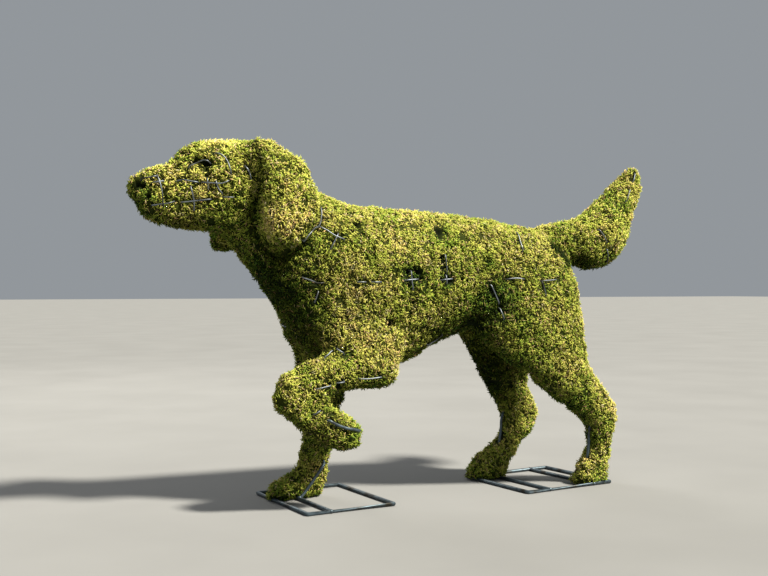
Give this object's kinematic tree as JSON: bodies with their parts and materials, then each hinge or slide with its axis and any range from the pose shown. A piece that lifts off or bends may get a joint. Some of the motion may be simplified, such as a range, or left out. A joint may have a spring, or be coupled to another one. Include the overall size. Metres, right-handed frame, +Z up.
{
  "type": "moss dog topiary",
  "caption": "Life-size pointing dog of packed moss in a thin wire cage, one foreleg raised, standing on flat base frames of steel rod.",
  "frame": {"origin": "on the ground, under the middle of the whole piece", "axes": "+X from the nose towards the tail, +Y towards the dog's right, +Z up"},
  "size_m": [1.223, 0.2751, 0.7362],
  "materials": {
    "moss": "shaggy dried moss, fully matt",
    "steel": "dull weathered grey rod and wire"
  },
  "bodies": {
    "root": {"moss_dog": "moss", "front_base_frame": "steel", "rear_base_frame": "steel", "body_cage": "steel", "head_cage": "steel"}
  },
  "joints": []
}
